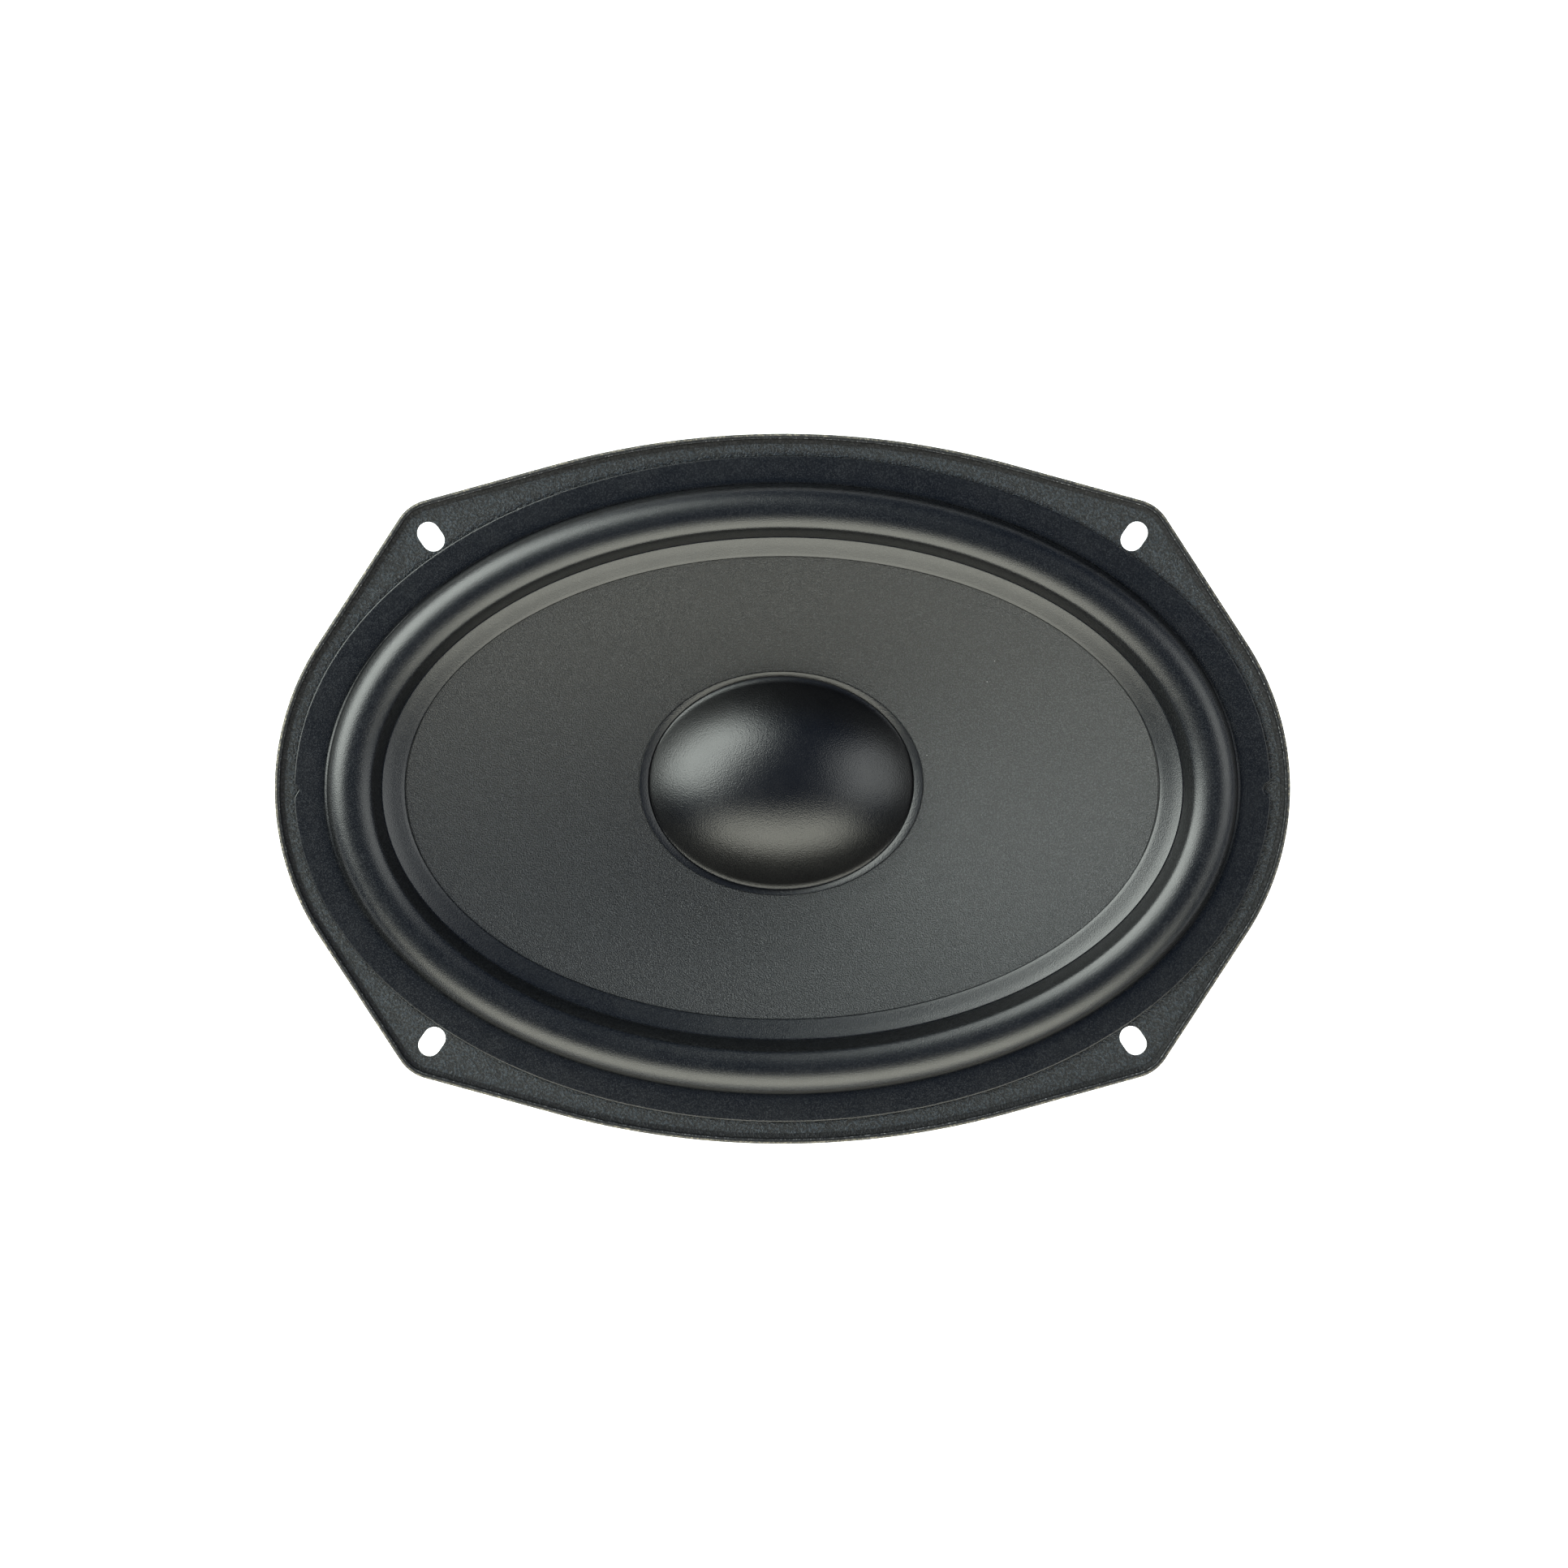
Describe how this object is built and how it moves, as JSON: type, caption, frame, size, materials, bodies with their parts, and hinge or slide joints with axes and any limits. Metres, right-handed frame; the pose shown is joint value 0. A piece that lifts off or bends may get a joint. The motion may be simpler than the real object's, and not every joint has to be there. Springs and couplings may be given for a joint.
{
  "type": "car woofer",
  "caption": "Oval car woofer with a stamped steel basket, slotted flange, rubber half-roll surround, plain oval dust cap, sliding cone, ferrite motor and blade terminals.",
  "frame": {"origin": "middle of the motor's back face, on which the woofer stands", "axes": "+Z out of the front along the cone's travel, +X along the oval's long axis towards the terminals, +Y along its short axis"},
  "size_m": [0.235, 0.1644, 0.085],
  "materials": {
    "powder_coat": "satin wrinkled powder coat",
    "gasket_foam": "matte",
    "surround_rubber": "satin",
    "cone_pulp": "matte with a fine grain",
    "cap_gloss": "semi-gloss",
    "former_film": "satin",
    "copper_wire": "satin",
    "kraft_paper": "matte",
    "spider_cloth": "matte",
    "zinc_steel": "satin",
    "ferrite": "matte",
    "rivet_steel": "satin",
    "phenolic_board": "satin",
    "tinned_brass": "satin",
    "tinsel_braid": "satin"
  },
  "bodies": {
    "frame": {"basket": "powder_coat", "rear_gasket": "gasket_foam", "surround": "surround_rubber", "spider": "spider_cloth", "top_plate": "zinc_steel", "magnet_ring": "ferrite", "back_plate": "zinc_steel", "pole_piece": "zinc_steel", "vent_screen": "zinc_steel", "plate_rivet_1": "rivet_steel", "plate_rivet_2": "rivet_steel", "plate_rivet_3": "rivet_steel", "plate_rivet_4": "rivet_steel", "terminal_board": "phenolic_board", "board_rivet_1": "rivet_steel", "board_rivet_2": "rivet_steel", "terminal_tab_positive": "tinned_brass", "tab_eyelet_positive": "tinned_brass", "tinsel_lead_positive": "tinsel_braid", "terminal_tab_negative": "tinned_brass", "tab_eyelet_negative": "tinned_brass", "tinsel_lead_negative": "tinsel_braid"},
    "cone_assembly": {"cone": "cone_pulp", "dust_cap": "cap_gloss", "voice_coil_former": "former_film", "voice_coil_winding": "copper_wire", "former_collar": "kraft_paper"}
  },
  "joints": [
    {"name": "cone_travel", "type": "slide", "parent": "frame", "child": "cone_assembly", "axis": [0, 0, 1], "range_m": [-0.005, 0.005], "stiffness_N_per_m": 2800, "deforming": ["surround", "spider", "tinsel_lead_positive", "tinsel_lead_negative"]}
  ]
}
